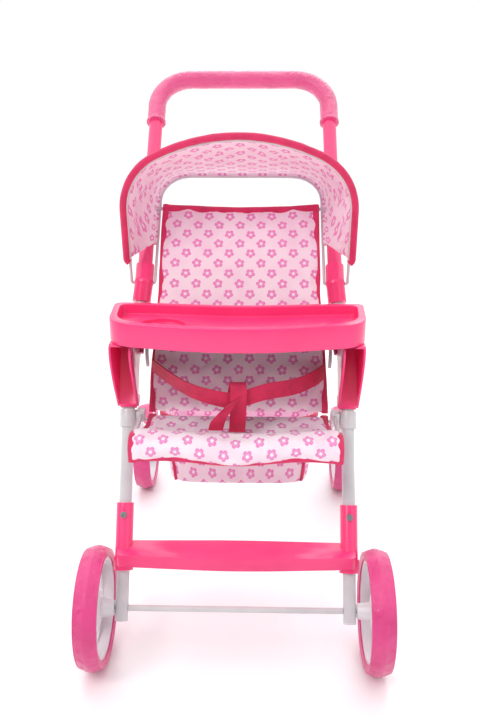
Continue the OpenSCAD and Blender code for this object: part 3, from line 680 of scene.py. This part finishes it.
# ---------------------------------------------------------------- seat pads, by cloth simulation
def pad_mesh(name, rows, cols, point, thick):
    """A closed pad: a front and a back sheet sewn together round their edge, with UVs in metres."""
    grid = [[Vector(point(i / (rows - 1), j / (cols - 1))) for j in range(cols)] for i in range(rows)]

    def face_dir(i, j):
        a = grid[min(i + 1, rows - 1)][j] - grid[max(i - 1, 0)][j]
        b = grid[i][min(j + 1, cols - 1)] - grid[i][max(j - 1, 0)]
        return a.cross(b).normalized()

    spots, number = [], {}
    for side in (0, 1):
        for i in range(rows):
            for j in range(cols):
                edge = i in (0, rows - 1) or j in (0, cols - 1)
                if side == 1 and edge:
                    number[1, i, j] = number[0, i, j]
                    continue
                crown = min(1.0, min(i, rows - 1 - i, j, cols - 1 - j) / 2.5)
                lift = thick / 2 * math.sqrt(crown) * (1 if side == 0 else -1)
                number[side, i, j] = len(spots)
                spots.append(grid[i][j] + (Vector((0, 0, 0)) if edge else face_dir(i, j) * lift))
    faces, uvs = [], []
    width = [(grid[i][-1] - grid[i][0]).length for i in range(rows)]
    along = [0.0]
    for i in range(1, rows):
        along.append(along[-1] + (grid[i][cols // 2] - grid[i - 1][cols // 2]).length)
    for side in (0, 1):
        for i in range(rows - 1):
            for j in range(cols - 1):
                ring = [(i, j), (i, j + 1), (i + 1, j + 1), (i + 1, j)]
                if side == 0:
                    ring.reverse()
                faces.append([number[side, a, b] for a, b in ring])
                uvs += [((b / (cols - 1) - 0.5) * width[a], along[a]) for a, b in ring]
    mesh = bpy.data.meshes.new(name)
    mesh.from_pydata(spots, [], faces)
    layer = mesh.uv_layers.new(name="UVMap")
    for loop, uv in zip(layer.data, uvs):
        loop.uv = uv
    piece = link(mesh, name, MAT["flower_fabric"])
    pins = piece.vertex_groups.new(name="sewn")
    pins.add([number[0, i, j] for i in range(rows) for j in range(cols)
              if i in (0, rows - 1) or j in (0, cols - 1)], 1.0, "REPLACE")
    edge = ([grid[0][j] for j in range(cols)], [grid[i][-1] for i in range(rows)],
            [grid[-1][j] for j in range(cols)], [grid[i][0] for i in range(rows)])
    return piece, edge


def add_cloth(piece, pressure, spare):
    cloth = piece.modifiers.new("cloth", "CLOTH")
    settings = cloth.settings
    settings.quality = 6
    settings.mass = 0.2
    settings.tension_stiffness = 25
    settings.compression_stiffness = 25
    settings.shear_stiffness = 8
    settings.bending_stiffness = 0.6
    settings.use_pressure = True
    settings.uniform_pressure_force = pressure
    settings.shrink_min = -spare
    settings.vertex_group_mass = "sewn"
    settings.effector_weights.gravity = 0.0
    cloth.point_cache.frame_start = 1
    cloth.point_cache.frame_end = 22


def simulate(jobs, frames=20):
    """Runs every pad's cloth together, caps how far it moves, and leaves plain meshes."""
    rest = {p.name: [v.co.copy() for v in p.data.vertices] for p, _, _, _ in jobs}
    for piece, pressure, spare, _ in jobs:
        add_cloth(piece, pressure, spare)
    for number in range(1, frames + 1):
        bpy.context.scene.frame_set(number)
    for piece, _, _, cap in jobs:
        bake(piece)
        for v, start in zip(piece.data.vertices, rest[piece.name]):
            move = v.co - start
            if move.length > cap:
                v.co = start + move.normalized() * cap
        sub = piece.modifiers.new("fine", "SUBSURF")
        sub.levels = sub.render_levels = 1
        bake(piece)
        smooth(piece, 80.0)
    bpy.context.scene.frame_set(1)


back_low, back_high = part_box("seat_back")
base_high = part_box("seat_base")[1]
bar_low, bar_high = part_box("back_bar")
bar_at = Vector((0, (bar_low[1] + bar_high[1]) / 2, (bar_low[2] + bar_high[2]) / 2))
back_half = back_high[0]
top_half = 0.1065
BACK_LINE = curve_points([(0, back_low[1] + 0.003, back_low[2] + 0.004),
                          (0, front_hub.y + 0.1555, 0.361), (0, front_hub.y + 0.2025, 0.447),
                          tuple(bar_at + Vector((0, -0.002, 0.006)))], 12)


def back_point(t, s):
    k = t * (len(BACK_LINE) - 1)
    i = min(int(k), len(BACK_LINE) - 2)
    p = BACK_LINE[i].lerp(BACK_LINE[i + 1], k - i)
    rise = max(0.0, min(1.0, (p.z - 0.29) / 0.135))
    half = back_half + (top_half - back_half) * rise - 0.002
    hollow = 0.006 * (1 - (2 * s - 1) ** 2) * math.sin(math.pi * min(1, t * 1.05))
    sag = -0.004 * (1 - (2 * s - 1) ** 2) * t ** 6
    return p + ACROSS * (2 * s - 1) * half + Vector((0, hollow, sag - 0.25 * hollow))


SEAT_LINE = curve_points([(0, front_hub.y + 0.017, 0.2655), (0, front_hub.y + 0.0165, 0.281),
                          (0, front_hub.y + 0.026, 0.2925), (0, front_hub.y + 0.045, 0.2915),
                          (0, front_hub.y + 0.088, 0.2735), (0, front_hub.y + 0.124, 0.2795)], 8)


def base_point(t, s):
    k = t * (len(SEAT_LINE) - 1)
    i = min(int(k), len(SEAT_LINE) - 2)
    p = SEAT_LINE[i].lerp(SEAT_LINE[i + 1], k - i)
    back = max(0.0, min(1.0, (p.y - front_hub.y - 0.075) / 0.03))
    half = (base_high[0] - 0.002) + (0.1165 - base_high[0]) * back
    side = (2 * s - 1) ** 2
    dip = -0.007 * (1 - side) * max(0.0, math.sin(math.pi * max(0, t - 0.25) / 0.75))
    scallop = 0.003 * math.sin(s * math.pi * 3) * (1 - t) ** 3
    return p + ACROSS * (2 * s - 1) * half + Vector((0, 0, dip + scallop))


back_pad, back_edge = pad_mesh("backrest_pad", 62, 56, back_point, 0.004)
base_pad, base_edge = pad_mesh("seat_pad", 36, 60, base_point, 0.0065)
simulate([(back_pad, 1.2, 0.012, 0.0045), (base_pad, 1.2, 0.016, 0.0022)])
finish_piece(back_pad, "frame", "flower_fabric", "seat_back")
finish_piece(base_pad, "frame", "flower_fabric", "seat_base")


def binding(name, line, middle, width, thick=0.0042):
    """Tape folded over an edge: flat, and reaching inwards to the middle of its pad."""
    line = even(line, 90)
    inward = [(middle(k / 89) - p) for k, p in enumerate(line)]
    aim, place = [], []
    for k, p in enumerate(line):
        t = (line[min(k + 1, 89)] - line[max(k - 1, 0)]).normalized()
        side = inward[k] - t * inward[k].dot(t)
        aim.append(side.normalized())
        wander = 0.0007 * noise.noise(p * 35)
        place.append(p + aim[-1] * (width / 2 - 0.0012 + wander))
    piece = swept(name, place, width / 2, MAT["binding"], 16, flat=thick / width, aim=aim)
    return finish_piece(piece, "frame", "webbing")


binding("backrest_top_binding", back_edge[2], lambda t: back_point(0.9, t), 0.0105)
binding("backrest_right_binding", back_edge[1], lambda t: back_point(t, 0.8), 0.0085)
binding("backrest_left_binding", back_edge[3], lambda t: back_point(t, 0.2), 0.0085)
binding("seat_front_binding", base_edge[0], lambda t: base_point(0.12, t), 0.0066)
binding("seat_right_binding", base_edge[1], lambda t: base_point(t, 0.8), 0.0105)
binding("seat_left_binding", base_edge[3], lambda t: base_point(t, 0.2), 0.0105)


# ---------------------------------------------------------------- harness
def strap(name, line, side_dirs, width, thick=0.0015):
    """A flat webbing strap along a line, side_dirs giving its width direction at each point."""
    cols = 7
    rows = len(line)

    def point(i, j):
        return line[i] + side_dirs[i] * width * (j / (cols - 1) - 0.5)

    return sheet_piece(name, rows, cols, point, MAT["webbing"], thick)


def make_harness():
    """The waist strap, the crotch strap's loop and its loose tail."""
    low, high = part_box("waist_belt")
    mid_z = (low[2] + high[2]) / 2
    line, dirs = [], []
    for k in range(61):
        u = k / 30 - 1
        droop = 0.012 * u * u - 0.008 * math.exp(-(u / 0.25) ** 2) + 0.004 * math.sin(u * 5 + 0.6)
        line.append(Vector((0.110 * u, low[1] + 0.002 + 0.0625 * u * u - 0.0012, mid_z - 0.002 + droop)))
        tilt = 0.30 * math.sin(u * 2.2 + 0.4)
        dirs.append(Vector((0, math.sin(tilt), math.cos(tilt))))
    belt = strap("waist_strap", line, dirs, 0.020)
    finish_piece(belt, "frame", "webbing", "waist_belt")
    y = low[1]
    loop = curve_points([(0, y + 0.006, 0.276), (0.001, y - 0.002, 0.295), (0.002, y - 0.0045, 0.318),
                         (0.002, y - 0.0035, 0.336), (0.001, y + 0.003, 0.342), (0, y + 0.009, 0.336),
                         (-0.003, y + 0.010, 0.318), (-0.008, y + 0.010, 0.300)], 8)
    side = [ACROSS.copy() for _ in loop]
    crotch = strap("crotch_strap_web", loop, side, 0.020)
    finish_piece(crotch, "frame", "webbing", "crotch_strap")
    tail = curve_points([(-0.002, y - 0.0062, 0.322), (-0.012, y - 0.010, 0.312), (-0.022, y - 0.012, 0.298),
                         (-0.026, y - 0.008, 0.284)], 8)
    slant = Vector((0.8, 0, 0.6)).normalized()
    dirs = [slant.lerp(ACROSS, min(1, k / 20)).normalized() for k in range(len(tail))]
    end = strap("strap_tail", tail, dirs, 0.018)
    finish_piece(end, "frame", "webbing")


make_harness()


# ---------------------------------------------------------------- basket
def make_basket():
    """The cloth bag hung from the basket wire, with its bindings."""
    low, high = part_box("basket_frame")
    z_front, z_back = high[2] - 0.002, low[2] + 0.002
    y_front, y_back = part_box("basket")[0][1] - 0.002, high[1] - 0.002
    half = 0.104
    deep = z_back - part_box("basket")[0][2] - 0.001
    cols, rows = 128, 30

    def rim(j):
        """A rounded rectangle round the top, seen from above, as shares from -1 to 1."""
        a = math.tau * j / cols
        c, s = math.cos(a), math.sin(a)
        return (math.copysign(abs(c) ** 0.28, c), math.copysign(abs(s) ** 0.28, s))

    def point(i, j):
        t = i / (rows - 1)
        x, y = rim(j % cols)
        shrink = 1 - 0.07 * min(1, t * 1.5) - 0.10 * max(0, (t - 0.6) / 0.4) ** 2
        if t > 0.82:
            shrink *= max(0.0, 1 - ((t - 0.82) / 0.18) ** 1.2)
        yy = (y_front + y_back) / 2 + y * (y_back - y_front) / 2 * shrink
        rim_z = z_front + (z_back - z_front) * ((yy - y_front) / (y_back - y_front))
        base = z_back - deep
        z = rim_z + (base + 0.006 - rim_z) * min(1.0, t / 0.80)
        if t > 0.80:
            z = base + 0.006 - 0.005 * min(1, (t - 0.80) / 0.1)
        swag = -0.007 * (1 - x * x) * (1 if y < -0.9 else 0.4) * (1 - t)
        fade = math.sin(math.pi * min(1, t * 1.2))
        crumple = 0.0022 * noise.noise(Vector((x * 2.5, y * 2.5, t * 4))) * fade
        return Vector((x * half * shrink + crumple, yy + crumple, z + swag))

    spots, faces = lattice(rows, cols, point, closed_cols=True)
    mesh = bpy.data.meshes.new("basket_bag")
    mesh.from_pydata([tuple(p) for p in spots], [], faces)
    layer = mesh.uv_layers.new(name="UVMap")
    around, down = [0.0], [0.0]
    for j in range(cols):
        around.append(around[-1] + (point(2, j + 1) - point(2, j)).length)
    for i in range(rows):
        down.append(down[-1] + (point(i + 1, cols // 8) - point(i, cols // 8)).length)
    for face in mesh.polygons:
        js = [mesh.loops[li].vertex_index % cols for li in face.loop_indices]
        for li, j in zip(face.loop_indices, js):
            i = mesh.loops[li].vertex_index // cols
            if max(js) - min(js) > 2 and j == 0:
                j = cols
            layer.data[li].uv = (around[j], down[i])
    bag = link(mesh, "basket_bag", MAT["flower_fabric"])
    solid = bag.modifiers.new("thick", "SOLIDIFY")
    solid.thickness = 0.0012
    solid.offset = 0
    bake(bag)
    smooth(bag, 70.0)
    finish_piece(bag, "frame", "flower_fabric", "basket")
    rim_line = [point(0, j) for j in range(cols)]
    ring = swept("basket_rim_binding", rim_line, 0.0036, MAT["binding"], 12, closed=True)
    finish_piece(ring, "frame", "webbing")
    for name, s in (("left", -1), ("right", 1)):
        near = [k for k in range(cols) if abs(rim(k)[0] - s) < 0.12 and rim(k)[1] < -0.9]
        j = near[len(near) // 2] if near else 0
        edge = [point(i, j) + Vector((s * 0.0006, -0.0006, 0)) for i in range(0, int(rows * 0.8))]
        piece = swept("basket_%s_binding" % name, edge, 0.0030, MAT["binding"], 10, flat=0.6)
        finish_piece(piece, "frame", "webbing")


make_basket()


# ---------------------------------------------------------------- floor and light
def make_stage():
    """A pale floor, a sky that is bright behind and above, and three soft lamps."""
    mesh = bpy.data.meshes.new("floor")
    mesh.from_pydata([(-9, -6, 0), (9, -6, 0), (9, 12, 0), (-9, 12, 0)], [], [(0, 1, 2, 3)])
    n = Nodes("floor_pale", 0.32)
    n.colour(n.mix(n.noise(3.0, 2.0), (0.93, 0.93, 0.94, 1), (0.95, 0.95, 0.955, 1)))
    n.rough(n.math("MULTIPLY_ADD", n.noise(6.0, 2.0), 0.08, 0.26))
    link(mesh, "floor", n.mat)
    world = bpy.data.worlds.new("studio")
    bpy.context.scene.world = world
    world.use_nodes = True
    tree = world.node_tree
    sky = tree.nodes["Background"]
    split = tree.nodes.new("ShaderNodeSeparateXYZ")
    tree.links.new(tree.nodes.new("ShaderNodeTexCoord").outputs["Generated"], split.inputs[0])
    glow = []
    for axis, low, high, dim, bright in ((1, -0.5, 0.3, 0.34, 1.02), (2, 0.3, 0.9, 0.0, 0.75)):
        span = tree.nodes.new("ShaderNodeMapRange")
        span.interpolation_type = "SMOOTHSTEP"
        tree.links.new(split.outputs[axis], span.inputs[0])
        for k, value in enumerate((low, high, dim, bright)):
            span.inputs[k + 1].default_value = value
        glow.append(span.outputs[0])
    total = tree.nodes.new("ShaderNodeMath")
    total.operation = "ADD"
    tree.links.new(glow[0], total.inputs[0])
    tree.links.new(glow[1], total.inputs[1])
    tree.links.new(total.outputs[0], sky.inputs["Strength"])
    sky.inputs["Color"].default_value = (1.0, 0.995, 0.99, 1)
    lights = [("key", (-1.2, -1.4, 1.9), 0.9, 16), ("fill", (1.5, -1.2, 1.0), 1.2, 4),
              ("back", (0.2, 1.8, 1.8), 1.6, 10)]
    for name, place, size, power in lights:
        lamp = bpy.data.lights.new(name, "AREA")
        lamp.size = size
        lamp.energy = power
        holder = bpy.data.objects.new(name, lamp)
        holder.location = place
        aim = Vector((0, 0, 0.32)) - Vector(place)
        holder.rotation_euler = aim.to_track_quat("-Z", "Y").to_euler()
        bpy.context.scene.collection.objects.link(holder)


make_stage()
